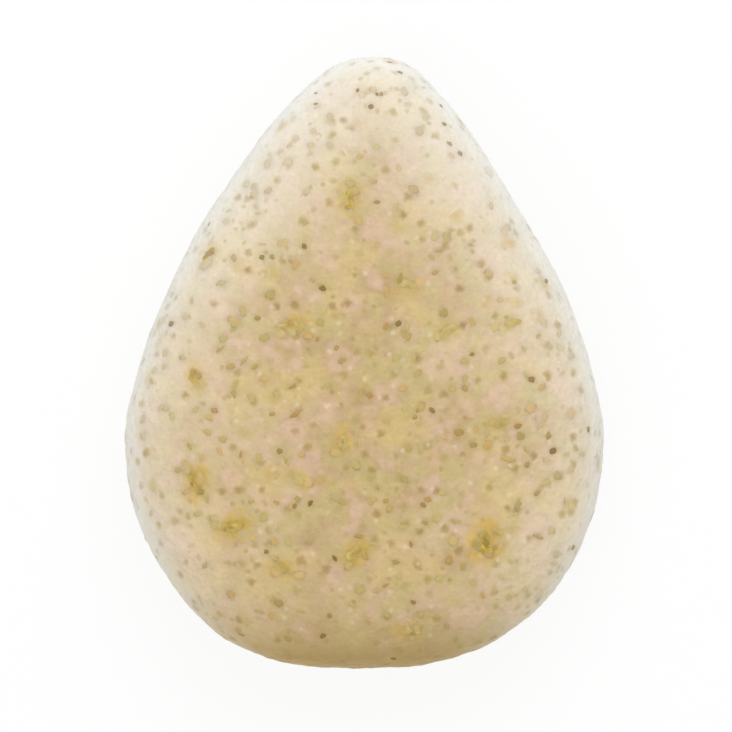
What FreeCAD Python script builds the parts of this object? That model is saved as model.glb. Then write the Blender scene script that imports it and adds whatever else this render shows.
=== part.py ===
import FreeCAD, Part
import math
import os
import random

# A drop-shaped konjac facial sponge: one moulded foam body, flat on its back and crowned on its front,
# with dried petals, seeds, bran and husk cast into it, each in the pocket that the foam set around it.
# Millimetres, +Z up through the thickness, +Y towards the tip, origin at the middle of the flat back.

# Foam body
sponge_length = 80.0
sponge_width = 62.4
sponge_thickness = 25.0
heel_flat = 4.0  # straight run across the round end
flank_radius = 88.0  # the long sides, between the round end and the tip
tip_radius = 10.3
tip_lean = 1.2  # how far the tip stands to +X of the middle
crown_rise = 3.0  # how far the front climbs from the widest points to its middle
front_rim_radius = 9.0
back_rim_radius = 4.0

# Petals
petal_thickness = 0.5
petal_proud = 0.12  # how far a petal stands out of the foam
back_petal_length = 3.0
back_petal_width = 1.4
back_petal_count = 6

# Front petals, each with its place as shares of the half width and half length from the middle,
# then its length, its width and its turn from +X in degrees
front_petals = [
    (-0.06, 0.51, 3.2, 1.4, 85),
    (-0.65, 0.34, 2.2, 1.2, 60),
    (-0.30, 0.11, 3.0, 1.7, 15),
    (-0.69, -0.06, 2.6, 1.3, 110),
    (-0.69, -0.40, 3.4, 1.5, 95),
    (-0.55, -0.53, 3.2, 1.6, 20),
    (-0.04, -0.62, 2.8, 1.6, 45),
    (0.49, -0.59, 3.0, 1.9, 70),
    (0.34, 0.09, 3.0, 1.3, 40),
    (0.54, -0.20, 2.8, 1.0, 10),
    (-0.26, -0.38, 2.6, 1.3, 150),
    (0.60, 0.12, 2.4, 1.0, 5),
    (-0.09, -0.26, 2.2, 1.0, 65),
    (-0.32, -0.67, 3.0, 1.2, 170),
    (0.19, 0.24, 2.6, 1.1, 160),
    (0.18, -0.87, 2.8, 1.0, 0),
]

# Dark seeds that stand out on the front, as shares of the half width and half length from the middle
front_seeds = [
    (0.15, 0.94),
    (0.07, 0.86),
    (-0.68, 0.48),
    (-0.42, 0.33),
    (-0.80, 0.12),
    (-0.17, 0.23),
    (0.44, 0.02),
    (0.02, -0.11),
    (0.76, 0.26),
    (0.93, -0.22),
    (-0.40, -0.61),
    (-0.12, -0.63),
    (0.20, -0.77),
    (0.12, -0.96),
    (-0.17, -0.88),
    (-0.50, -0.87),
    (0.24, -0.46),
    (0.86, -0.60),
]

# Seeds, bran and husk: crushed flakes, narrower at the foot than at the face
seed_length = 1.2
seed_width = 1.0
seed_sides = 5
bran_length = 1.0
bran_width = 0.8
bran_sides = 3
husk_length = 2.4
husk_width = 0.55
husk_sides = 4
flake_depth = 0.5  # how deep a flake sits in the foam
flake_proud = 0.1  # how far it stands out of the foam
flake_taper = 0.6  # its foot as a share of its face
flake_wobble = 0.3  # how uneven its outline is
flake_gap = 0.4  # least foam between two pieces

# How many spots each region is given; a spot too near another piece stays empty
front_seed_spots = 6
front_bran_spots = 22
front_husk_spots = 14
rim_seed_spots = 5
rim_bran_spots = 6
rim_husk_spots = 5
back_seed_spots = 9
back_bran_spots = 16
back_husk_spots = 9
inner_bran_spots = 16
crown_edge = 0.76  # the furthest spots of the scatter on the front, as a share of the way to the outline
back_edge = 0.85  # the same on the back
inner_edge = 0.7  # the same for the back petals and inside the foam
spot_edge = 0.97  # the same for what is placed by itself

golden_turn = math.pi * (3 - math.sqrt(5))
up = FreeCAD.Vector(0, 0, 1)
half_width = sponge_width / 2
half_length = sponge_length / 2
belly_radius = (sponge_width - heel_flat) / 2
widest_y = belly_radius - half_length
tip_centre = FreeCAD.Vector(tip_lean, half_length - tip_radius, 0)
plan_centre = FreeCAD.Vector(0, widest_y, 0)
chance = random.Random(7)


# Points at the outline's joints

def towards(start, end, distance):
    step = end - start
    return start + step * (distance / step.Length)


def flank_centre(belly_centre, side):
    # centre of the side arc that touches the belly arc and the tip arc from outside
    to_belly = flank_radius - belly_radius
    to_tip = flank_radius - tip_radius
    line = tip_centre - belly_centre
    along = (line.Length**2 + to_belly**2 - to_tip**2) / (2 * line.Length)
    across = math.sqrt(to_belly**2 - along**2)
    ahead = line / line.Length
    sideways = FreeCAD.Vector(-ahead.y, ahead.x, 0)
    return belly_centre + ahead * along + sideways * (side * across)


def arc_about(centre, start, end):
    radius = (start - centre).Length
    middle = towards(centre, (start + end) / 2, radius)
    return Part.Arc(start, middle, end).toShape()


def drop_outline():
    heel, bellies, flanks, joints = [], [], [], []
    for side in (1, -1):
        belly = FreeCAD.Vector(side * heel_flat / 2, widest_y, 0)
        flank = flank_centre(belly, side)
        heel.append(belly - FreeCAD.Vector(0, belly_radius, 0))
        bellies.append(belly)
        flanks.append(flank)
        joints.append((towards(flank, belly, flank_radius), towards(flank, tip_centre, flank_radius)))
    edges = [Part.LineSegment(heel[1], heel[0]).toShape()]
    edges.append(arc_about(bellies[0], heel[0], joints[0][0]))
    edges.append(arc_about(flanks[0], joints[0][0], joints[0][1]))
    edges.append(arc_about(tip_centre, joints[0][1], joints[1][1]))
    edges.append(arc_about(flanks[1], joints[1][1], joints[1][0]))
    edges.append(arc_about(bellies[1], joints[1][0], heel[1]))
    return Part.Wire(edges)


# Foam body: a pad cut by a shallow dome, with both rims rolled over

def crown_radius():
    return (half_width**2 + crown_rise**2) / (2 * crown_rise)


def rim_limit():
    # rims shrink together where the wall at the tip is too low, or the tip too narrow, for them
    tip_reach = half_length - widest_y
    tip_drop = crown_radius() - math.sqrt(crown_radius() ** 2 - tip_reach**2)
    wall_share = 0.95 * (sponge_thickness - tip_drop) / (front_rim_radius + back_rim_radius)
    tip_share = 0.95 * tip_radius / max(front_rim_radius, back_rim_radius)
    return min(1, wall_share, tip_share)


def bare_foam(outline):
    pad = Part.Face(outline).extrude(up * (sponge_thickness + crown_rise))
    dome_centre = plan_centre + up * (sponge_thickness - crown_radius())
    dome = Part.makeSphere(crown_radius(), dome_centre, FreeCAD.Vector(0, 1, 0))
    dome.rotate(dome_centre, FreeCAD.Vector(0, 1, 0), 180)  # its seam lies underneath
    blank = pad.common(dome).Solids[0]
    back_edges = [edge for edge in blank.Edges if edge.BoundBox.ZMax < back_rim_radius / 2]
    rolled = blank.makeFillet(back_rim_radius * rim_limit(), back_edges)
    crown = next(face for face in rolled.Faces if isinstance(face.Surface, Part.Sphere))
    return rolled.makeFillet(front_rim_radius * rim_limit(), crown.OuterWire.Edges).Solids[0]


# Seats: where a ray from inside the foam comes out, with the outward normal there

def seat(foam, start, direction):
    ray = Part.makeLine(start, start + direction * (sponge_length + sponge_width))
    ends = [vertex.Point for vertex in foam.common(ray).Vertexes]
    spot = max(ends, key=lambda end: (end - start).Length)
    face = next(face for face in foam.Faces if face.isInside(spot, 0.01, True))
    normal = face.normalAt(*face.Surface.parameter(spot))
    if normal.dot(direction) < 0:
        normal = normal * -1
    return spot, normal


def place_on(spot, normal, turn):
    # local Z along the normal, local X turned about it from +X
    ahead = FreeCAD.Vector(math.cos(turn), math.sin(turn), 0)
    if abs(normal.z) < 0.5:
        ahead = up * math.sin(turn) + up.cross(normal) * math.cos(turn)
    sideways = normal.cross(ahead).normalize()
    ahead = sideways.cross(normal)
    return FreeCAD.Placement(spot, FreeCAD.Rotation(ahead, sideways, normal, "ZXY"))


# Scatter: even spirals over the outline, shaken a little so that no rows show

def outline_reach(outline, angle):
    far = FreeCAD.Vector(math.cos(angle), math.sin(angle), 0) * sponge_length
    ray = Part.makeLine(plan_centre, plan_centre + far)
    return Part.Face(outline).common(ray).Length


def plan_spot(outline, across, along):
    # shares of the half width and half length from the middle, drawn in where the outline is narrower
    offset = FreeCAD.Vector(across * half_width, along * half_length, 0) - plan_centre
    reach = spot_edge * outline_reach(outline, math.atan2(offset.y, offset.x))
    return plan_centre + offset * min(1, reach / offset.Length)


def plan_spots(outline, count, edge, first_turn):
    for index in range(count):
        share = edge * math.sqrt((index + chance.random()) / count)
        angle = first_turn + (index + 0.5 * chance.random()) * golden_turn
        reach = share * outline_reach(outline, angle)
        yield plan_centre + FreeCAD.Vector(math.cos(angle), math.sin(angle), 0) * reach


def rim_rays(count, first_turn):
    for index in range(count):
        angle = first_turn + (index + 0.6 * chance.random()) * 2 * math.pi / count
        height = back_rim_radius + chance.random() * (sponge_thickness / 2 - back_rim_radius)
        yield plan_centre + up * height, FreeCAD.Vector(math.cos(angle), math.sin(angle), 0)


# Pieces in their own frames: local X along the piece, local Z out of the foam

def prism(face, foot):
    outlines = [face, foot[::-1]]
    for index in range(len(face)):
        outlines.append([foot[index - 1], foot[index], face[index], face[index - 1]])
    faces = [Part.Face(Part.makePolygon(outline + outline[:1])) for outline in outlines]
    return Part.Solid(Part.Shell(faces))


def petal(length, width):
    # a strap that widens from its root to a notched end
    half = [(-0.5, 0.15), (0.2, 0.5), (0.5, 0.25)]
    shares = [(along, -across) for along, across in half] + [(0.4, 0)] + half[::-1]
    outline = [FreeCAD.Vector(along * length, across * width, 0) for along, across in shares]
    face = [corner + up * petal_proud for corner in outline]
    foot = [corner + up * (petal_proud - petal_thickness) for corner in outline]
    return prism(face, foot)


def flake(length, width, sides):
    face, foot = [], []
    for index in range(sides):
        angle = 2 * math.pi * (index + 0.5 + flake_wobble * (chance.random() - 0.5)) / sides
        reach = 1 + flake_wobble * (chance.random() - 0.5)
        corner = FreeCAD.Vector(math.cos(angle) * length / 2, math.sin(angle) * width / 2, 0) * reach
        face.append(corner + up * flake_proud)
        foot.append(corner * flake_taper - up * flake_depth)
    return prism(face, foot)


# Casting: every piece is kept whole as a cutter for its pocket, and level with the back as a piece

class Casting:
    def __init__(self, foam):
        self.foam = foam
        self.taken = []
        self.cutters = []
        self.nodes = {}
        self.below_back = Part.makeBox(4 * sponge_length, 4 * sponge_length, sponge_thickness)
        self.below_back.translate(FreeCAD.Vector(-2 * sponge_length, -2 * sponge_length, -sponge_thickness))

    def is_clear(self, spot, reach):
        return all((spot - other).Length > reach + other_reach + flake_gap for other, other_reach in self.taken)

    def add(self, node, shape, placement, reach):
        shape.Placement = placement.multiply(shape.Placement)
        self.taken.append((placement.Base, reach))
        self.cutters.append(shape)
        if shape.BoundBox.ZMin < 0:
            shape = shape.cut(self.below_back).Solids[0]
        self.nodes.setdefault(node, []).append(shape)

    def add_flake(self, node, spot, normal, length, width, sides):
        if self.is_clear(spot, length / 2):
            turn = 2 * math.pi * chance.random()
            self.add(node, flake(length, width, sides), place_on(spot, normal, turn), length / 2)


def cast_petals(casting, outline, level):
    for number, (across, along, length, width, turn) in enumerate(front_petals, 1):
        spot, normal = seat(casting.foam, plan_spot(outline, across, along) + up * level, up)
        placement = place_on(spot, normal, math.radians(turn))
        casting.add(f"front_petal_{number:02d}", petal(length, width), placement, length / 2)
    spots = plan_spots(outline, back_petal_count, inner_edge, golden_turn)
    for number, spot in enumerate(spots, 1):
        spot, normal = seat(casting.foam, spot + up * level, up * -1)
        placement = place_on(spot, normal, number * golden_turn)
        leaf = petal(back_petal_length, back_petal_width)
        casting.add(f"back_petal_{number:02d}", leaf, placement, back_petal_length / 2)


def cast_flakes(casting, outline, level):
    seeds = (seed_length, seed_width, seed_sides)
    bran = (bran_length, bran_width, bran_sides)
    husk = (husk_length, husk_width, husk_sides)
    for across, along in front_seeds:
        spot = plan_spot(outline, across, along) + up * level
        casting.add_flake("front_seeds", *seat(casting.foam, spot, up), *seeds)
    faces = [
        ("front_seeds", front_seed_spots, crown_edge, up, seeds),
        ("front_husk", front_husk_spots, crown_edge, up, husk),
        ("front_bran", front_bran_spots, crown_edge, up, bran),
        ("back_seeds", back_seed_spots, back_edge, up * -1, seeds),
        ("back_husk", back_husk_spots, back_edge, up * -1, husk),
        ("back_bran", back_bran_spots, back_edge, up * -1, bran),
    ]
    for order, (node, count, edge, outward, sizes) in enumerate(faces):
        for spot in plan_spots(outline, count, edge, order):
            casting.add_flake(node, *seat(casting.foam, spot + up * level, outward), *sizes)
    rims = [
        ("rim_seeds", rim_seed_spots, seeds),
        ("rim_husk", rim_husk_spots, husk),
        ("rim_bran", rim_bran_spots, bran),
    ]
    for order, (node, count, sizes) in enumerate(rims):
        for start, outward in rim_rays(count, order):
            casting.add_flake(node, *seat(casting.foam, start, outward), *sizes)
    for spot in plan_spots(outline, inner_bran_spots, inner_edge, golden_turn):
        height = sponge_thickness * (0.3 + 0.4 * chance.random())
        casting.add_flake("inner_bran", spot + up * height, up, *bran)


def main():
    outline = drop_outline()
    foam = bare_foam(outline)
    level = back_rim_radius * rim_limit()  # low enough to be inside the foam out to the tip
    casting = Casting(foam)
    cast_petals(casting, outline, level)
    cast_flakes(casting, outline, level)
    casting.nodes["foam_body"] = [foam.cut(casting.cutters)]
    os.makedirs("parts", exist_ok=True)
    for node, shapes in casting.nodes.items():
        Part.makeCompound(shapes).exportStep(f"parts/{node}.step")
        solids = sum(len(shape.Solids) for shape in shapes)
        volume = sum(shape.Volume for shape in shapes)
        print(f"{node}: {solids} solids, {volume:.2f} mm3")


main()
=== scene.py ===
import math
import random

import bpy
import numpy as np
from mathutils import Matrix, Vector
from mathutils.bvhtree import BVHTree
from mathutils.geometry import convex_hull_2d
from mathutils.kdtree import KDTree


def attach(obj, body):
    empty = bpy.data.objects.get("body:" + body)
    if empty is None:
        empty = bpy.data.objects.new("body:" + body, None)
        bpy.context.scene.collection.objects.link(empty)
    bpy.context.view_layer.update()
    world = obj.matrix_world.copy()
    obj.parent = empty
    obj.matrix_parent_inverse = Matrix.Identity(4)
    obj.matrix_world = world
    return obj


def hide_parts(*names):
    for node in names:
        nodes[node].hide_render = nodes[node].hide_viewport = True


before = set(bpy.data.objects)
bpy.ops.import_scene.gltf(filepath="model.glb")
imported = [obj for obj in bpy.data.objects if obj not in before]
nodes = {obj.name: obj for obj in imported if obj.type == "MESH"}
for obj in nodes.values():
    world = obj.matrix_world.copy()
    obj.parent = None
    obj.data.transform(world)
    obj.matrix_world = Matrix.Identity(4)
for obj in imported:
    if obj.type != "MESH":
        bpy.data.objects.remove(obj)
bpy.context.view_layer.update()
chance = random.Random(21)


# selection and modifiers, as by hand

def pick(*things):
    bpy.ops.object.select_all(action="DESELECT")
    for thing in things:
        thing.select_set(True)
    bpy.context.view_layer.objects.active = things[0]


def applyModifier(thing, kind, **values):
    pick(thing)
    modifier = thing.modifiers.new(kind.lower(), kind)
    for name, value in values.items():
        setattr(modifier, name, value)
    bpy.ops.object.modifier_apply(modifier=modifier.name)


def smoothShade(thing):
    pick(thing)
    bpy.ops.object.shade_smooth()


def joinCopies(copies, name):
    pick(*copies)
    bpy.ops.object.join()
    joined = bpy.context.view_layer.objects.active
    joined.name = name
    return joined


def seatPiece(thing, slotName, *nodeNames):
    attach(thing, "root")
    if nodeNames:
        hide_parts(*nodeNames)


def writeAttribute(thing, name, values):
    attribute = thing.data.attributes.new(name, "FLOAT", "POINT")
    attribute.data.foreach_set("value", np.asarray(values, dtype=np.float32))


# where the cast-in pieces of the solids lie

petalNodes = sorted(name for name in nodes if "_petal_" in name)
flakeNodes = {
    "seed": ("front_seeds", "rim_seeds", "back_seeds"),
    "husk": ("front_husk", "rim_husk", "back_husk"),
    "bran": ("front_bran", "rim_bran", "back_bran"),
}
sameDigits = 7  # corners that agree to this many decimals are one corner


def corners(mesh):
    flat = np.empty(len(mesh.vertices) * 3)
    mesh.vertices.foreach_get("co", flat)
    return flat.reshape(-1, 3)


def lieOf(points):
    points = np.unique(np.round(points, sameDigits), axis=0)
    centre = points.mean(axis=0)
    axes = np.linalg.eigh(np.cov((points - centre).T))[1]  # thinnest way first
    along, across = axes[:, 2], axes[:, 1]
    length = np.ptp((points - centre) @ along)
    width = np.ptp((points - centre) @ across)
    return {"centre": Vector(centre), "along": Vector(along), "across": Vector(across),
            "length": float(length), "width": float(width)}


def islandsOf(node):
    mesh = node.data
    keys, inverse = np.unique(np.round(corners(mesh), sameDigits), axis=0, return_inverse=True)
    inverse = inverse.reshape(-1)
    parent = list(range(len(keys)))

    def rootOf(index):
        while parent[index] != index:
            parent[index] = parent[parent[index]]
            index = parent[index]
        return index

    for polygon in mesh.polygons:
        first = rootOf(int(inverse[polygon.vertices[0]]))
        for vertex in polygon.vertices[1:]:
            parent[rootOf(int(inverse[vertex]))] = first
    islands = {}
    for index in range(len(keys)):
        islands.setdefault(rootOf(index), []).append(keys[index])
    return [np.array(island) for island in islands.values()]


# foam body

foamLook = {
    "weld": 0.000001,
    "voxel": 0.0004,
    "smoothing": (0.5, 90),  # strength and turns
    "middle": (0, -0.009),  # what the bearings below are taken from, in degrees from the round end
    "firm": 0.03,  # from here outwards a swell has its full size
    "fullness": ((40, 24, 0.00065), (-34, 19, 0.0010),  # bearing, spread and swell beside the round end
                 (147, 18, -0.0009), (-167, 9, 0.0006)),  # and on the right flank and left of the tip
    "hollows": (0.013, 0.0005, 0.5),  # size and depth of the soft hollows, and which share of it goes in
    "skin": (0.0032, 0.0002, 1.0),  # of the uneven skin
    "pores": (0.0012, 0.00022, 1.0),  # of the open pores
    # painted light: the rim is painted paler for the glow of light through its thin edge, most toward the
    # tip
    "rimHeights": (0, 0.05, 0.13, 0.25, 0.5, 1),  # shares of the way from the round end to the tip
    "rimEdge": (0, 0.25, 0.42, 0.53, 0.54, 0.42),  # how pale the painted light makes the very edge there
    "rimGlow": (0, 0.10, 0.20, 0.33, 0.43, 0.62),  # and the softer band inside it
    "edgeReach": 0.0021,
    "glowHeights": (0, 0.5, 1),
    "glowReach": (0.0070, 0.0075, 0.0135),  # at the round end, in the middle and at the tip
    "cream": (0.013, 0.31),  # reach and share of a lighter colour along the sides, painted light where they get less lamp light
    "crownSteps": 12,  # strips in which the height of the crown is taken
    "wallLevels": (0.0, 0.45, 0.75),  # shares of that height
    "wallPale": (0.45, 0.68, 1),  # how much of all this painted light the walls keep there
    "heelEdge": (0.0026, 0.75),  # reach and share of the painted shade at the round end's edge
    "heelBroad": (0.0145, 0.64),  # and of the softer band inside it
    "heelWidth": (0.004, 0.028),  # both fade out between these distances from the middle line
    "heelRise": 0.28,  # and are gone this share of the way up
    "heelLevels": (0.05, 0.85),  # on the wall they come in between these shares of the height
    "stainReach": 0.0013,  # how far a petal's stain spreads
    "stainGrowth": (0.7, 1.1),  # times that for the faintest and the strongest petal
    "stainStrength": (0.4, 1.5),  # and how strong it is for these two
    "stainDepth": 2,  # how deep it goes, times its reach
    "fleckBleed": 0.00025,  # how far a flake's stain spreads
    "fleckEnd": 2,  # where that ends, times its reach
}


def fadeOut(distance, reach):
    return np.exp(-((distance / reach) ** 2))


def easeIn(share):
    return share * share * (3 - 2 * share)


def roughen(thing, kind, size, depth, inward):
    texture = bpy.data.textures.new(thing.name + kind.title(), kind)
    texture.noise_scale = size
    applyModifier(thing, "DISPLACE", texture=texture, strength=depth, mid_level=inward,
                  texture_coords="LOCAL")


# moves the sides out or in by a little, most at the rim
def fillOut(foam):
    points = corners(foam.data)
    offset = points[:, :2] - np.array(foamLook["middle"])
    reach = np.hypot(offset[:, 0], offset[:, 1])
    bearing = np.degrees(np.arctan2(offset[:, 0], -offset[:, 1]))  # positive to the right
    swell = sum(size * fadeOut(bearing - side, spread) for side, spread, size in foamLook["fullness"])
    swell *= np.minimum(reach / foamLook["firm"], 1) ** 2
    points[:, :2] += offset * (swell / reach)[:, None]
    foam.data.vertices.foreach_set("co", points.ravel())
    foam.data.update()


def makeFoam():
    bpy.ops.object.select_all(action="DESELECT")
    copies = []
    for node in nodes.values():  # foam and what is cast in it, as one closed body
        copy = bpy.data.objects.new("foam", node.data.copy())
        bpy.context.scene.collection.objects.link(copy)
        copies.append(copy)
    foam = joinCopies(copies, "konjacFoam")
    foam.data.materials.clear()
    bpy.ops.object.mode_set(mode="EDIT")
    bpy.ops.mesh.select_all(action="SELECT")
    bpy.ops.mesh.remove_doubles(threshold=foamLook["weld"])
    bpy.ops.object.mode_set(mode="OBJECT")
    strength, turns = foamLook["smoothing"]
    applyModifier(foam, "REMESH", mode="VOXEL", voxel_size=foamLook["voxel"])
    applyModifier(foam, "SMOOTH", factor=strength, iterations=turns)
    fillOut(foam)
    roughen(foam, "CLOUDS", *foamLook["hollows"])
    roughen(foam, "CLOUDS", *foamLook["skin"])
    roughen(foam, "VORONOI", *foamLook["pores"])
    smoothShade(foam)
    seatPiece(foam, "konjac_foam", "foam_body")
    print("foam", len(foam.data.polygons), "faces")
    return foam


def stainPetals(foam, petals):
    points = corners(foam.data)
    stain = np.zeros(len(points))
    for petal in petals:
        reach = foamLook["stainReach"] * np.interp(petal["tone"] ** 2, (0, 1), foamLook["stainGrowth"])
        strength = np.interp(petal["tone"], (0, 1), foamLook["stainStrength"])
        offset = points - np.array(petal["centre"])
        normal = np.array(petal["along"].cross(petal["across"]))
        along = offset @ np.array(petal["along"]) / (0.5 * petal["length"] + reach)
        across = offset @ np.array(petal["across"]) / (0.5 * petal["width"] + reach)
        depth = offset @ normal / (foamLook["stainDepth"] * reach)
        stain = np.maximum(stain, strength * np.exp(-(along**2 + across**2 + depth**2)))
    writeAttribute(foam, "petalStain", stain)


def stainFlakes(foam, flakes):
    tree = KDTree(len(foam.data.vertices))
    for vertex in foam.data.vertices:
        tree.insert(vertex.co, vertex.index)
    tree.balance()
    stain = np.zeros(len(foam.data.vertices))
    for spot, length, strength in flakes:
        reach = 0.5 * length + foamLook["fleckBleed"]
        for found in tree.find_range(spot, foamLook["fleckEnd"] * reach):
            index, distance = found[1:]
            stain[index] = max(stain[index], strength * fadeOut(distance, reach))
    writeAttribute(foam, "flakeStain", stain)
    print("stains of", len(flakes), "flakes")


def crownHeight(rise, height):
    steps = foamLook["crownSteps"]
    step = np.minimum((rise * steps).astype(int), steps - 1)
    tops = np.zeros(steps)
    np.maximum.at(tops, step, height)
    return np.interp(rise, (np.arange(steps) + 0.5) / steps, tops)


# how far each point lies inside the outline, seen from above
def insideOutline(plan):
    hull = plan[convex_hull_2d([tuple(point) for point in plan])]
    inward = np.full(len(plan), np.inf)
    for start, end in zip(hull, np.roll(hull, -1, axis=0)):
        step = end - start
        length = np.hypot(*step)
        if length > 0:
            across = np.array([-step[1], step[0]])
            inward = np.minimum(inward, np.abs((plan - start) @ across) / length)
    return inward


# paints light and shade into the foam's colour: paler toward the rim as painted light glowing through the
# thin edge, most toward the tip; a lighter band along the sides as painted light where less lamp light
# falls; and painted shade darkening the round end
def paintRim(foam):
    points = corners(foam.data)
    plan = points[:, :2]
    inward = insideOutline(plan)
    low, high = plan[:, 1].min(), plan[:, 1].max()
    rise = (plan[:, 1] - low) / (high - low)
    level = points[:, 2] / crownHeight(rise, points[:, 2])
    wall = np.interp(level, foamLook["wallLevels"], foamLook["wallPale"])
    middle = easeIn(np.interp(np.abs(plan[:, 0]), foamLook["heelWidth"], (1, 0)))
    middle *= np.interp(rise, (0, foamLook["heelRise"]), (1, 0))
    edge = fadeOut(inward, foamLook["edgeReach"])
    glow = fadeOut(inward, np.interp(rise, foamLook["glowHeights"], foamLook["glowReach"]))
    pale = edge * np.interp(rise, foamLook["rimHeights"], foamLook["rimEdge"])
    pale += glow * np.interp(rise, foamLook["rimHeights"], foamLook["rimGlow"])
    pale *= wall * (1 - middle)
    writeAttribute(foam, "rimPale", pale)
    reach, share = foamLook["cream"]
    writeAttribute(foam, "rimCream", share * fadeOut(inward, reach) * wall * (1 - middle))
    heel = np.zeros(len(plan))
    for reach, share in (foamLook["heelEdge"], foamLook["heelBroad"]):
        heel += share * fadeOut(inward, reach)
    heel *= middle * easeIn(np.interp(level, foamLook["heelLevels"], (0, 1)))
    writeAttribute(foam, "heelDeep", heel)
    print("rim painted")
    return pale, heel


# petals

petalLook = {
    "rows": 16,
    "columns": 10,
    "stretch": 1.12,  # times the length and width of its solid
    "thickness": 0.00012,
    "lift": 0.00005,
    "fold": 0.00003,  # height of its creases
    "ridge": 5,  # how narrow the middle crease is
    "creases": (0.5, 13, 11),  # height of the cross creases, and how close they are along and across
    "tuck": (0.00022, 6),  # how far its edge dips under the skin, and how suddenly
    "skew": 0.5,  # how much broader it is past its middle
    "sway": 0.12,  # how far it bends, as a share of the width
    "curl": (0.05, 9),  # how far its ends are ragged, and how closely
    "ragged": (0.16, 9, 21, 4),  # the same for its sides, with two waves and a slant
    "layFrom": 0.004,  # height over the skin from which it is laid down
    "tones": {  # how strongly these show; the rest are faint
        "front_petal_08": 1.0,
        "front_petal_02": 0.8,
        "front_petal_05": 0.75,
        "front_petal_01": 0.7,
        "front_petal_06": 0.7,
        "front_petal_13": 0.6,
        "front_petal_07": 0.6,
        "front_petal_04": 0.5,
        "front_petal_14": 0.4,
        "front_petal_03": 0.4,
        "front_petal_16": 0.4,
    },
    "faint": 0.25,
}


def makePetal(name, petal, skinTree):
    bpy.ops.object.select_all(action="DESELECT")
    bpy.ops.mesh.primitive_grid_add(x_subdivisions=petalLook["rows"], y_subdivisions=petalLook["columns"],
                                    size=1)
    piece = bpy.context.view_layer.objects.active
    piece.name = name
    outward = petal["along"].cross(petal["across"])
    if outward.dot(skinTree.find_nearest(petal["centre"])[1]) < 0:
        outward.negate()
    across = outward.cross(petal["along"])
    length, width = petal["length"] * petalLook["stretch"], petal["width"] * petalLook["stretch"]
    curl, curlWave = petalLook["curl"]
    jag, slowWave, quickWave, slant = petalLook["ragged"]
    cross, alongWave, acrossWave = petalLook["creases"]
    tuck, sudden = petalLook["tuck"]
    wave = chance.uniform(0, 6)
    for vertex in piece.data.vertices:
        u, v = vertex.co.x, vertex.co.y  # from -0.5 to 0.5
        belly = (1 - abs(2 * u) ** 3) ** 0.5 * (1 + petalLook["skew"] * u)  # drawn in at the ends
        ragged = 1 + jag * (math.sin(slowWave * u + wave) + math.sin(quickWave * u + 3 * wave + slant * v))
        bend = petalLook["sway"] * math.sin(2 * math.pi * u + wave)
        x = (u + curl * math.sin(curlWave * v + wave)) * length
        y = (v * belly * ragged + bend) * width
        spot = petal["centre"] + petal["along"] * x + across * y
        above = spot + outward * petalLook["layFrom"]
        near = skinTree.ray_cast(above, -outward)[0] or skinTree.find_nearest(spot)[0]
        crease = max(0, 1 - abs(v) * petalLook["ridge"])
        crease += cross * math.sin(alongWave * u + acrossWave * v + wave)
        rim = max(abs(u), abs(v)) * 2
        vertex.co = near + outward * (petalLook["lift"] + petalLook["fold"] * crease - tuck * rim**sudden)
    applyModifier(piece, "SOLIDIFY", thickness=petalLook["thickness"], offset=-1)
    applyModifier(piece, "SUBSURF", levels=1, render_levels=1)
    smoothShade(piece)
    writeAttribute(piece, "petalTone", [petal["tone"]] * len(piece.data.vertices))
    piece.data.materials.append(petalMaterial)
    return piece


# seeds, husk and bran

flakeLook = {
    "seed": {"length": (0.0010, 0.0017), "slim": (0.6, 0.9), "flat": 0.28,
             "strewn": 45, "byPetal": 2, "gather": 0.15, "fade": 0.3},
    "husk": {"length": (0.0016, 0.0030), "slim": (0.3, 0.5), "flat": 0.16,
             "strewn": 100, "byPetal": 2, "gather": 0.5, "fade": 0.72},
    "bran": {"length": (0.0011, 0.0021), "slim": (0.55, 0.95), "flat": 0.15,
             "strewn": 480, "byPetal": 4, "gather": 0.5, "fade": 0.72},
}
tipSeeds = {
    "spots": ((0.0033, 0.0388), (0.0016, 0.0343), (0.0008, 0.0326), (-0.0009, 0.0348),
              (-0.0063, 0.0346), (-0.0063, 0.0331), (0.0099, 0.0330), (0.0103, 0.0305)),
    "layFrom": 0.05,
    "length": (0.0007, 0.0010),
    "slim": (0.6, 0.9),
    "tone": (0.0, 0.3),
}
flakeLay = {
    "shapes": 5,  # different flakes of each kind
    "taper": 0.7,  # how much a husk is drawn out at its ends
    "jag": 0.05,  # how uneven its ends are
    "uneven": (0.78, 1.16),
    "sink": 0.25,  # how deep a flake's middle lies, as a share of its thickness
    "cell": 0.0015,  # no two strewn flakes share a cell of this size
    "steep": 0.28,  # how many flakes an upright wall holds, as a share of those on a level face
    "deep": 0.6,  # how much darker flakes are in the painted shade of the round end
    "solidTone": (0.1, 0.9),  # from dark to light
    "strewnTone": (0, 1, 0.75),  # mostly light
    "scrapTone": (1.25, 0.25),  # round a petal, less its tone, and up to this much lighter
}


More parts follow.
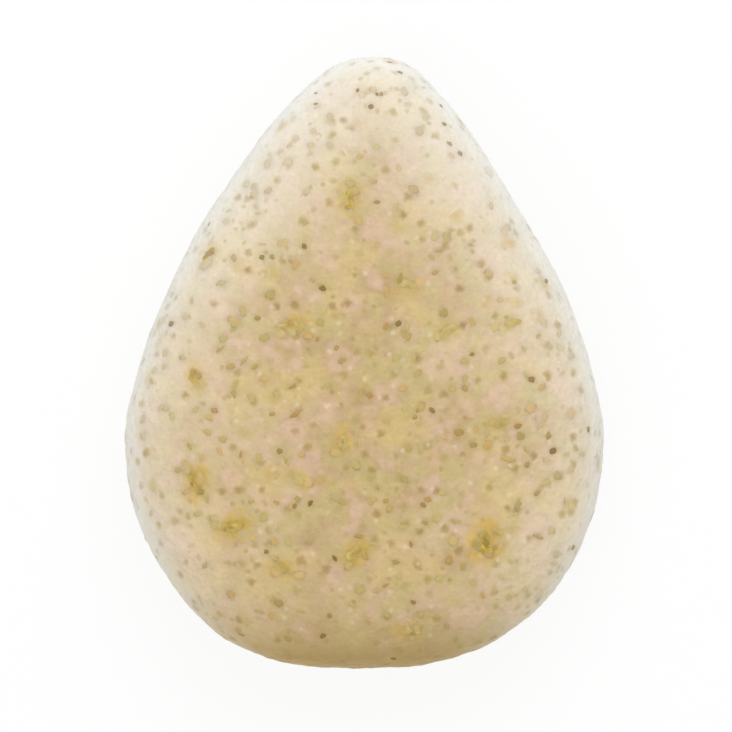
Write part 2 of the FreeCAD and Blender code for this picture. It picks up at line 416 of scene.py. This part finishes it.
def makeFlakeShape(kind, number):
    bpy.ops.object.select_all(action="DESELECT")
    if kind == "husk":
        bpy.ops.mesh.primitive_cylinder_add(vertices=6, radius=0.5, depth=1, rotation=(0, math.pi / 2, 0))
    else:
        bpy.ops.mesh.primitive_uv_sphere_add(segments=8, ring_count=5, radius=0.5)
    shape = bpy.context.view_layer.objects.active
    bpy.ops.object.transform_apply(location=False, rotation=True, scale=False)
    shape.name = f"{kind}Shape{number}"
    if kind == "husk":  # rings along the splinter
        bpy.ops.object.mode_set(mode="EDIT")
        bpy.ops.mesh.select_all(action="SELECT")
        bpy.ops.mesh.subdivide(number_cuts=1)
        bpy.ops.object.mode_set(mode="OBJECT")
    for vertex in shape.data.vertices:
        if kind == "husk":
            taper = 1 - flakeLay["taper"] * abs(vertex.co.x * 2) ** 2
            vertex.co.y *= taper
            vertex.co.z *= taper
            vertex.co.x += chance.uniform(-flakeLay["jag"], flakeLay["jag"])
        vertex.co *= chance.uniform(*flakeLay["uneven"])
    return shape


def cellOf(spot):
    return tuple(int(value // flakeLay["cell"]) for value in spot)


def anyHeading():
    return Vector((chance.gauss(0, 1), chance.gauss(0, 1), chance.gauss(0, 1)))


def strewnSpots(foam, count, taken):
    polygons = foam.data.polygons
    while count:
        polygon = polygons[chance.randrange(len(polygons))]
        cell = cellOf(polygon.center)
        share = flakeLay["steep"] + (1 - flakeLay["steep"]) * abs(polygon.normal.z)
        if cell not in taken and chance.random() < share:
            taken.add(cell)
            count -= 1
            yield polygon.center.copy(), polygon.normal.copy()


def scrapSpots(petals, count, gather, skinTree):
    darkest, lighter = flakeLay["scrapTone"]
    for petal in petals:
        for scrap in range(round(count * petal["tone"])):
            along = petal["along"] * chance.gauss(0, gather * petal["length"])
            across = petal["across"] * chance.gauss(0, gather * petal["width"])
            spot, normal = skinTree.find_nearest(petal["centre"] + along + across)[:2]
            yield spot, normal, darkest - petal["tone"] + chance.uniform(0, lighter)


# place, normal, heading, length, slimness and tone of each flake
def flakeSpots(kind, foam, petals, skinTree, taken):
    look = flakeLook[kind]
    spots = []
    for nodeName in flakeNodes[kind]:  # those of the solids
        for island in islandsOf(nodes[nodeName]):
            lie = lieOf(island)
            spot, normal = skinTree.find_nearest(lie["centre"])[:2]
            taken.add(cellOf(spot))
            slim, tone = lie["width"] / lie["length"], chance.uniform(*flakeLay["solidTone"])
            spots.append((spot, normal, lie["along"], lie["length"], slim, tone))
    for x, y in tipSeeds["spots"] if kind == "seed" else ():  # dark ones near the tip
        spot, normal = skinTree.ray_cast(Vector((x, y, tipSeeds["layFrom"])), Vector((0, 0, -1)))[:2]
        taken.add(cellOf(spot))
        length, slim, tone = (chance.uniform(*tipSeeds[name]) for name in ("length", "slim", "tone"))
        spots.append((spot, normal, anyHeading(), length, slim, tone))
    for spot, normal in strewnSpots(foam, look["strewn"], taken):
        length = chance.triangular(*look["length"], look["length"][0])
        tone = chance.triangular(*flakeLay["strewnTone"])
        spots.append((spot, normal, anyHeading(), length, chance.uniform(*look["slim"]), tone))
    for spot, normal, tone in scrapSpots(petals, look["byPetal"], look["gather"], skinTree):
        length = chance.uniform(*look["length"])
        spots.append((spot, normal, anyHeading(), length, chance.uniform(*look["slim"]), tone))
    return spots


def makeFlakes(kind, foam, rim, heel, petals, skinTree, taken):
    shapes = [makeFlakeShape(kind, number) for number in range(flakeLay["shapes"])]
    spots = flakeSpots(kind, foam, petals, skinTree, taken)
    copies, stains = [], []
    for spot, normal, heading, length, slim, tone in spots:
        along = (heading - normal * heading.dot(normal)).normalized()
        across = normal.cross(along)
        thickness = length * min(slim, flakeLook[kind]["flat"])
        copy = bpy.data.objects.new(kind, chance.choice(shapes).data.copy())
        for vertex in copy.data.vertices:  # lies on the skin and follows it
            x, y, z = vertex.co
            skin = skinTree.find_nearest(spot + along * (x * length) + across * (y * length * slim))[0]
            vertex.co = skin + normal * (thickness * (z - flakeLay["sink"]))
        nearest = foam.data.polygons[skinTree.find_nearest(spot)[2]].vertices[0]
        # flakes take on the painted rim light, which also weakens their stain, and the painted shade of the
        # round end
        pale = float(rim[nearest])
        tone *= 1 - flakeLay["deep"] * float(heel[nearest])
        for name, value in (("flakeTone", tone), ("rimPale", pale), ("flakeWarm", chance.random())):
            writeAttribute(copy, name, [value] * len(copy.data.vertices))
        stains.append((spot, length * slim**0.5, max(0, 1 - tone) * (1 - pale)))
        bpy.context.scene.collection.objects.link(copy)
        copies.append(copy)
    piece = joinCopies(copies, kind + "Flakes")
    smoothShade(piece)
    piece.data.materials.append(flakeMaterials[kind])
    seatPiece(piece, kind, *flakeNodes[kind])
    for shape in shapes:
        bpy.data.objects.remove(shape)
    print(kind, len(copies), "flakes,", len(piece.data.polygons), "faces")
    return stains


# shader pieces

def feed(tree, socket, value):
    if isinstance(value, bpy.types.NodeSocket):
        tree.links.new(value, socket)
    else:
        socket.default_value = value


def addNode(tree, kind, inputs=None, **settings):
    made = tree.nodes.new(kind)
    for name, value in settings.items():
        setattr(made, name, value)
    for name, value in (inputs or {}).items():
        feed(tree, made.inputs[name], value)
    return made


def mixColour(tree, amount, first, second, blend="MIX"):
    made = addNode(tree, "ShaderNodeMix", data_type="RGBA", blend_type=blend)
    for index, value in ((0, amount), (6, first), (7, second)):  # its sockets for colours
        feed(tree, made.inputs[index], (*value, 1) if isinstance(value, tuple) else value)
    return made.outputs[2]


def mathNode(tree, operation, *values):
    made = addNode(tree, "ShaderNodeMath", operation=operation)
    for index, value in enumerate(values):
        feed(tree, made.inputs[index], value)
    return made.outputs[0]


def product(tree, first, second):
    return mathNode(tree, "MULTIPLY", first, second)


def straight(tree, value, slope, start):
    return mathNode(tree, "MULTIPLY_ADD", value, slope, start)


def softStep(tree, value, start, end, most=1.0):
    made = addNode(tree, "ShaderNodeMapRange", {"Value": value, "From Min": start, "From Max": end,
                                                "To Max": most}, interpolation_type="SMOOTHSTEP")
    return made.outputs["Result"]


def noise(tree, place, scale, detail, roughness=0.5):
    made = addNode(tree, "ShaderNodeTexNoise", {"Vector": place, "Scale": scale, "Detail": detail,
                                                "Roughness": roughness})
    return made.outputs["Fac"]


def painted(tree, name):
    return addNode(tree, "ShaderNodeAttribute", attribute_name=name).outputs["Fac"]


def ramp(tree, value, *stops):
    made = addNode(tree, "ShaderNodeValToRGB", {"Fac": value})
    elements = made.color_ramp.elements
    while len(elements) < len(stops):
        elements.new(0.5)
    for element, (position, colour) in zip(elements, stops):
        element.position = position
        element.color = (*colour, 1)
    return made.outputs["Color"]


def startMaterial(name):
    material = bpy.data.materials.new(name)
    material.use_nodes = True
    tree = material.node_tree
    shader = tree.nodes["Principled BSDF"]
    place = addNode(tree, "ShaderNodeTexCoord").outputs["Object"]
    return material, tree, shader, place


def finishSurface(tree, shader, colour, quick, height, look):
    tree.links.new(colour, shader.inputs["Base Color"])
    tree.links.new(straight(tree, quick, *look["roughness"]), shader.inputs["Roughness"])
    strength, distance = look["bump"]
    bump = addNode(tree, "ShaderNodeBump", {"Height": height, "Strength": strength, "Distance": distance})
    tree.links.new(bump.outputs["Normal"], shader.inputs["Normal"])
    shader.inputs["Specular IOR Level"].default_value = look["gloss"]
    if "gel" in look:
        weight, radius, scale = look["gel"]
        shader.inputs["Subsurface Weight"].default_value = weight
        shader.inputs["Subsurface Radius"].default_value = radius
        shader.inputs["Subsurface Scale"].default_value = scale


def startGroup(name, inputs, outputs):
    group = bpy.data.node_groups.new(name, "ShaderNodeTree")
    group.interface.new_socket("Vector", in_out="INPUT", socket_type="NodeSocketVector")
    for socketName, value in inputs.items():
        socket = group.interface.new_socket(socketName, in_out="INPUT", socket_type="NodeSocketFloat")
        socket.default_value = value
    for socketName in outputs:
        group.interface.new_socket(socketName, in_out="OUTPUT", socket_type="NodeSocketFloat")
    return group, addNode(group, "NodeGroupInput").outputs, addNode(group, "NodeGroupOutput").inputs


# flecks: soft dots in some cells of a scattered field
fleckRagged = (2.5, 0.35)  # how much finer than the cells their edges waver, and how far


def makeFleckGroup():
    group, source, result = startGroup("fleckField", {"Scale": 400, "Share": 0.4, "Size": 0.2, "Core": 0.1},
                                       ("Mask", "Tone"))
    place, scale = source["Vector"], source["Scale"]
    finer, far = fleckRagged
    ragged = addNode(group, "ShaderNodeTexNoise", {"Vector": place, "Scale": product(group, scale, finer)})
    shift = addNode(group, "ShaderNodeVectorMath", {0: ragged.outputs["Color"]}, operation="SCALE")
    group.links.new(mathNode(group, "DIVIDE", far, scale), shift.inputs["Scale"])
    moved = addNode(group, "ShaderNodeVectorMath", {0: place, 1: shift.outputs[0]}, operation="ADD")
    cells = addNode(group, "ShaderNodeTexVoronoi", {"Vector": moved.outputs[0], "Scale": scale})
    parts = addNode(group, "ShaderNodeSeparateColor", {"Color": cells.outputs["Color"]})
    dot = softStep(group, cells.outputs["Distance"], source["Size"], source["Core"])
    chosen = mathNode(group, "LESS_THAN", parts.outputs["Red"], source["Share"])
    group.links.new(product(group, dot, chosen), result["Mask"])
    group.links.new(parts.outputs["Green"], result["Tone"])
    return group


# mottle: slow and quick changes of tone, each with its detail and roughness, the quick one so much finer
mottleNoise = {"slow": (3.0, 0.55), "quick": (4.0, 0.65), "finer": 7.0}


def makeMottleGroup():
    group, source, result = startGroup("driedMottle", {"Scale": 60}, ("Slow", "Quick"))
    place, scale = source["Vector"], source["Scale"]
    group.links.new(noise(group, place, scale, *mottleNoise["slow"]), result["Slow"])
    finer = product(group, scale, mottleNoise["finer"])
    group.links.new(noise(group, place, finer, *mottleNoise["quick"]), result["Quick"])
    return group


fleckGroup = makeFleckGroup()
mottleGroup = makeMottleGroup()


def flecks(tree, place, scale, share, size, core):
    made = addNode(tree, "ShaderNodeGroup", {"Vector": place, "Scale": scale, "Share": share, "Size": size,
                                             "Core": core}, node_tree=fleckGroup)
    return made.outputs["Mask"], made.outputs["Tone"]


def mottle(tree, place, scale):
    made = addNode(tree, "ShaderNodeGroup", {"Vector": place, "Scale": scale}, node_tree=mottleGroup)
    return made.outputs["Slow"], made.outputs["Quick"]


# foam finish

foamColours = {
    "deep": (0.54, 0.38, 0.185),
    "tan": (0.60, 0.45, 0.245),
    "cream": (0.67, 0.525, 0.32),
    "pink": (0.685, 0.485, 0.34),
    "olive": (0.575, 0.47, 0.21),
    "yellow": (0.66, 0.495, 0.215),
    "gold": (0.58, 0.37, 0.06),
    "lemon": (0.66, 0.455, 0.10),
    # painted light along the sides
    "light": (0.88, 0.74, 0.52),
    # painted light of the rim glow
    "pale": (0.83, 0.82, 0.76),
    # painted shade at the round end
    "heel": (0.43, 0.295, 0.105),
    "bleed": (0.47, 0.33, 0.115),
    # pale spots: bubbles in the gel, and painted glints of wet highlight
    "bubble": (0.75, 0.63, 0.44),
}
foamFinish = {
    "mottle": 110.0,
    "ground": ((0.32, foamColours["deep"]), (0.5, foamColours["tan"]), (0.7, foamColours["cream"])),
    "hues": (300.0, 1.0),  # scale and detail of the patches of pink and olive
    "pink": (0.5, 0.68, 0.8),  # where in their noise it begins and is full, and how full
    "olive": (0.5, 0.34, 0.8),
    "sunny": (130.0, 2.0),  # scale and detail of the yellow patches
    "yellow": (0.5, 0.66, 0.7),
    "crowd": (0.38, 0.62),  # where in the same noise flecks gather
    "grain": (800.0, 2.0),
    "grainTones": ((0.32, (0.89, 0.88, 0.86)), (0.68, (1.0, 1.0, 1.0))),
    "stainGrain": (2.6, -0.3),  # how the grain breaks up a petal's stain
    "stain": (0.1, 1.0, 0.85),
    "stainTones": ((0.4, foamColours["gold"]), (0.6, foamColours["lemon"])),
    # gold ones deep in the foam, brown ones and fine meal: share is how many more there are where they
    # gather, and how many elsewhere, and rimLoss makes them fainter in the painted light of the rim
    "flecks": (
        {"scale": 260.0, "share": (0.0, 0.3), "size": 0.42, "core": 0.05, "rimLoss": 0.0, "strength": 0.5,
         "tones": ((0.2, (0.56, 0.38, 0.10)), (0.8, (0.52, 0.41, 0.15)))},
        {"scale": 420.0, "share": (0.5, 0.48), "size": 0.37, "core": 0.06, "rimLoss": 0.6, "strength": 0.8,
         "tones": ((0.1, (0.36, 0.235, 0.07)), (0.5, (0.43, 0.30, 0.09)), (0.9, (0.44, 0.35, 0.12)))},
        {"scale": 720.0, "share": (0.3, 0.1), "size": 0.36, "core": 0.1, "rimLoss": 0.6, "strength": 0.45,
         "tones": ((0.1, (0.34, 0.22, 0.065)), (0.9, (0.46, 0.34, 0.11)))},
    ),
    "bleed": 0.5,
    "bubbles": (600.0, 0.45, 0.32, 0.04),  # scale, share, size and core of the bubbles and painted glints
    "bubbleShow": (-0.6, 0.56),  # less in the painted shade of the round end
    "pores": 1500.0,
    "roughness": (0.3, 0.38),
    "bump": (0.45, 0.0003),
    "gloss": 0.3,
    "gel": (0.6, (1.0, 0.9, 0.7), 0.0025),
}


def makeFoamMaterial():
    material, tree, shader, place = startMaterial("konjacFoam")
    slow, quick = mottle(tree, place, foamFinish["mottle"])
    hues, sunny, grain = (noise(tree, place, *foamFinish[name]) for name in ("hues", "sunny", "grain"))
    # painted light of the rim and painted shade of the round end
    rim, heel = painted(tree, "rimPale"), painted(tree, "heelDeep")
    colour = ramp(tree, slow, *foamFinish["ground"])
    for name, field in (("pink", hues), ("olive", hues), ("yellow", sunny)):
        colour = mixColour(tree, softStep(tree, field, *foamFinish[name]), colour, foamColours[name])
    colour = mixColour(tree, 1.0, colour, ramp(tree, grain, *foamFinish["grainTones"]), "MULTIPLY")
    # painted light: a lighter colour along the sides where less lamp light falls
    colour = mixColour(tree, painted(tree, "rimCream"), colour, foamColours["light"])
    stain = product(tree, painted(tree, "petalStain"), straight(tree, grain, *foamFinish["stainGrain"]))
    gold = ramp(tree, hues, *foamFinish["stainTones"])
    colour = mixColour(tree, softStep(tree, stain, *foamFinish["stain"]), colour, gold)
    # painted rim light, then painted shade at the round end
    colour = mixColour(tree, rim, colour, foamColours["pale"])
    colour = mixColour(tree, heel, colour, foamColours["heel"])
    crowd = softStep(tree, sunny, *foamFinish["crowd"])
    for layer in foamFinish["flecks"]:
        share = straight(tree, crowd, *layer["share"])
        mask, tone = flecks(tree, place, layer["scale"], share, layer["size"], layer["core"])
        mask = product(tree, mask, straight(tree, rim, -layer["rimLoss"], 1.0))
        tones = ramp(tree, tone, *layer["tones"])
        colour = mixColour(tree, product(tree, mask, layer["strength"]), colour, tones)
    bleed = product(tree, painted(tree, "flakeStain"), foamFinish["bleed"])
    colour = mixColour(tree, bleed, colour, foamColours["bleed"])
    # pale spots for bubbles and painted glints of wet highlight, fewer in the painted shade of the round end
    mask = flecks(tree, place, *foamFinish["bubbles"])[0]
    mask = product(tree, mask, straight(tree, heel, *foamFinish["bubbleShow"]))
    colour = mixColour(tree, mask, colour, foamColours["bubble"])
    pores = addNode(tree, "ShaderNodeTexVoronoi", {"Vector": place, "Scale": foamFinish["pores"]})
    height = mathNode(tree, "ADD", pores.outputs["Distance"], quick)
    finishSurface(tree, shader, colour, quick, height, foamFinish)
    return material


# petal finish: gold with an olive crease and brown scraps, fading into the stained foam

petalColours = {
    "heart": (0.27, 0.16, 0.025),
    "dark": (0.34, 0.19, 0.02),
    "olive": (0.47, 0.285, 0.042),
    "gold": (0.64, 0.395, 0.062),
    "bright": (0.75, 0.52, 0.115),
    "straw": (0.65, 0.46, 0.18),
    "butter": (0.74, 0.55, 0.24),
}
petalFinish = {
    "mottle": 700.0,
    "faint": ((0.38, petalColours["straw"]), (0.62, petalColours["butter"])),
    "strong": ((0.36, petalColours["olive"]), (0.5, petalColours["gold"]), (0.64, petalColours["bright"])),
    "creaseBend": (1.3, -0.15),  # how the mottle bends the crease
    "crease": (0.24, 0.04, 0.55),
    "scraps": (1100.0, 0.8, 0.6, 0.2),  # of the flower's brown heart: scale, share, size and core
    "scrapTones": ((0.4, petalColours["dark"]), (0.9, petalColours["olive"])),
    "scrapShow": (0.55, 0.1),  # for a strong petal more than for a faint one
    "middle": (0.5, 0.5, 0.0),
    "heartBend": (0.3, 0.15),  # how the mottle bends the heart's edge
    "heart": (0.22, 0.06),
    "heartPower": 3.0,  # only the strongest petals show it
    "edge": (0.25, 0.04),
    "roughness": (0.4, 0.35),
    "bump": (0.3, 0.0001),
    "gloss": 0.25,
    "gel": (0.5, (1.0, 0.8, 0.4), 0.0012),
}


def makePetalMaterial():
    material, tree, shader, place = startMaterial("driedPetal")
    slow, quick = mottle(tree, place, petalFinish["mottle"])
    tone = painted(tree, "petalTone")
    flat = addNode(tree, "ShaderNodeTexCoord").outputs["UV"]
    parts = addNode(tree, "ShaderNodeSeparateXYZ", {"Vector": flat})
    along, across = parts.outputs["X"], parts.outputs["Y"]
    faint, strong = (ramp(tree, slow, *petalFinish[name]) for name in ("faint", "strong"))
    colour = mixColour(tree, tone, faint, strong)
    bend = straight(tree, slow, *petalFinish["creaseBend"])
    crease = mathNode(tree, "ABSOLUTE", mathNode(tree, "SUBTRACT", across, bend))
    crease = product(tree, softStep(tree, crease, *petalFinish["crease"]), tone)
    colour = mixColour(tree, crease, colour, petalColours["olive"])
    mask, kind = flecks(tree, place, *petalFinish["scraps"])
    mask = product(tree, mask, straight(tree, tone, *petalFinish["scrapShow"]))
    colour = mixColour(tree, mask, colour, ramp(tree, kind, *petalFinish["scrapTones"]))
    away = addNode(tree, "ShaderNodeVectorMath", {0: flat, 1: petalFinish["middle"]}, operation="DISTANCE")
    bend, less = petalFinish["heartBend"]
    away = straight(tree, slow, bend, mathNode(tree, "SUBTRACT", away.outputs["Value"], less))
    strength = mathNode(tree, "POWER", tone, petalFinish["heartPower"])
    heart = product(tree, softStep(tree, away, *petalFinish["heart"]), strength)
    colour = mixColour(tree, heart, colour, petalColours["heart"])
    ends = mathNode(tree, "MINIMUM", along, mathNode(tree, "SUBTRACT", 1.0, along))
    sides = mathNode(tree, "MINIMUM", across, mathNode(tree, "SUBTRACT", 1.0, across))
    edge = softStep(tree, mathNode(tree, "MINIMUM", ends, sides), *petalFinish["edge"])
    colour = mixColour(tree, edge, colour, mixColour(tree, tone, foamColours["yellow"], foamColours["gold"]))
    finishSurface(tree, shader, colour, quick, quick, petalFinish)
    return material


# flake finish: one tone for each flake, a little mottled, and paler in the painted light of the rim

flakeColours = {
    "seed": ((0.235, 0.14, 0.045), (0.35, 0.225, 0.07), (0.45, 0.31, 0.105)),
    "husk": ((0.40, 0.265, 0.085), (0.50, 0.36, 0.135), (0.575, 0.435, 0.195)),
    "bran": ((0.39, 0.26, 0.085), (0.49, 0.35, 0.13), (0.565, 0.425, 0.185)),
}
flakeFinish = {
    "mottle": 900.0,
    "mottleShow": (0.5, -0.25),
    "tones": (0.1, 0.55, 0.95),  # where the dark, middle and light colours stand
    "tints": ((0.2, (0.94, 1.02, 0.95)), (0.8, (1.06, 0.97, 0.9))),  # from olive to amber
    "roughness": (0.4, 0.35),
    "bump": (0.3, 0.0001),
    "gloss": 0.2,
}


def makeFlakeMaterial(kind):
    material, tree, shader, place = startMaterial(kind + "Flake")
    slow, quick = mottle(tree, place, flakeFinish["mottle"])
    uneven = straight(tree, slow, *flakeFinish["mottleShow"])
    value = mathNode(tree, "ADD", painted(tree, "flakeTone"), uneven)
    colour = ramp(tree, value, *zip(flakeFinish["tones"], flakeColours[kind]))
    tint = ramp(tree, painted(tree, "flakeWarm"), *flakeFinish["tints"])
    colour = mixColour(tree, 1.0, colour, tint, "MULTIPLY")
    # paler in the painted rim light
    fade = product(tree, painted(tree, "rimPale"), flakeLook[kind]["fade"])
    colour = mixColour(tree, fade, colour, foamColours["pale"])
    finishSurface(tree, shader, colour, quick, quick, flakeFinish)
    return material


foamMaterial = makeFoamMaterial()
petalMaterial = makePetalMaterial()
flakeMaterials = {kind: makeFlakeMaterial(kind) for kind in flakeLook}
print("finishes ready")

foam = makeFoam()
petals = {name: lieOf(corners(nodes[name].data)) for name in petalNodes}
for name, petal in petals.items():
    petal["tone"] = petalLook["tones"].get(name, petalLook["faint"])
stainPetals(foam, petals.values())
# painted rim light and painted shade of the round end
rim, heel = paintRim(foam)
foam.data.materials.append(foamMaterial)
skinTree = BVHTree.FromObject(foam, bpy.context.evaluated_depsgraph_get())
for name, petal in petals.items():
    piece = makePetal(name.replace("_", "") + "Piece", petal, skinTree)
    seatPiece(piece, "petal", name)
print(len(petals), "petals")
taken, stains = set(), []
for kind in flakeLook:
    stains += makeFlakes(kind, foam, rim, heel, petals.values(), skinTree, taken)
stainFlakes(foam, stains)
nodes["inner_bran"].data.materials.clear()
nodes["inner_bran"].data.materials.append(flakeMaterials["bran"])


# stage: white floor, soft light from above the tip, camera straight over the sponge

stageLook = {
    "floorSize": 4.0,
    "floorLevel": -0.0002,
    "floorWhite": 0.9,
    "floorRough": 0.9,
    "showWhite": 0.87,  # how much of the floor's white the camera sees without shade
    "ambient": 0.70,
    "key": (Vector((0.05, 0.40, 0.45)), 0.5, 1.6),  # place, size and watts
    "fill": (Vector((-0.15, -0.32, 0.62)), 0.6, 0.95),
    "lens": 200.0,
    "sensor": 36.0,
    "frameHeight": 0.0957,  # what the picture spans at the level of the aim
    "aim": (0.0002, -0.0007, 0.010),
}


# 1 where the camera looks straight at it, by a reflection or through something clear
def seenPlainly(tree):
    path = addNode(tree, "ShaderNodeLightPath")
    seen = mathNode(tree, "MAXIMUM", path.outputs["Is Camera Ray"], path.outputs["Is Glossy Ray"])
    return mathNode(tree, "MAXIMUM", seen, path.outputs["Is Transmission Ray"])


def makeFloor():
    bpy.ops.object.select_all(action="DESELECT")
    bpy.ops.mesh.primitive_plane_add(size=stageLook["floorSize"], location=(0, 0, stageLook["floorLevel"]))
    floor = bpy.context.view_layer.objects.active
    floor.name = "floor"
    material = bpy.data.materials.new("whiteFloor")
    material.use_nodes = True
    tree = material.node_tree
    shader = tree.nodes["Principled BSDF"]
    shader.inputs["Base Color"].default_value = (*[stageLook["floorWhite"]] * 3, 1)
    shader.inputs["Roughness"].default_value = stageLook["floorRough"]
    shine = addNode(tree, "ShaderNodeEmission")
    amount = product(tree, seenPlainly(tree), stageLook["showWhite"])
    blend = addNode(tree, "ShaderNodeMixShader", {0: amount, 1: shader.outputs[0], 2: shine.outputs[0]})
    tree.links.new(blend.outputs[0], tree.nodes["Material Output"].inputs["Surface"])
    floor.data.materials.append(material)


def makeWorld():
    world = bpy.data.worlds.new("studio")
    bpy.context.scene.world = world
    world.use_nodes = True
    tree = world.node_tree
    level = addNode(tree, "ShaderNodeMapRange", {"Value": seenPlainly(tree), "To Min": stageLook["ambient"],
                                                 "To Max": 1.0})
    background = tree.nodes["Background"]
    background.inputs["Color"].default_value = (1, 1, 1, 1)
    tree.links.new(level.outputs["Result"], background.inputs["Strength"])


def makeLight(name, place, size, watts):
    bpy.ops.object.light_add(type="AREA", location=place)
    lamp = bpy.context.view_layer.objects.active
    lamp.name = name
    lamp.data.size = size
    lamp.data.energy = watts
    lamp.rotation_euler = (-place).to_track_quat("-Z", "Y").to_euler()


def makeCamera():
    data = bpy.data.cameras.new("overhead")
    data.lens = stageLook["lens"]
    data.sensor_width = stageLook["sensor"]
    camera = bpy.data.objects.new("overhead", data)
    height = stageLook["frameHeight"] * data.lens / data.sensor_width
    camera.location = Vector(stageLook["aim"]) + Vector((0, 0, height))
    bpy.context.scene.collection.objects.link(camera)
    bpy.context.scene.camera = camera


makeFloor()
makeWorld()
makeLight("keyLight", *stageLook["key"])
makeLight("fillLight", *stageLook["fill"])
makeCamera()
bpy.context.scene.view_settings.view_transform = "Standard"
print("stage ready")
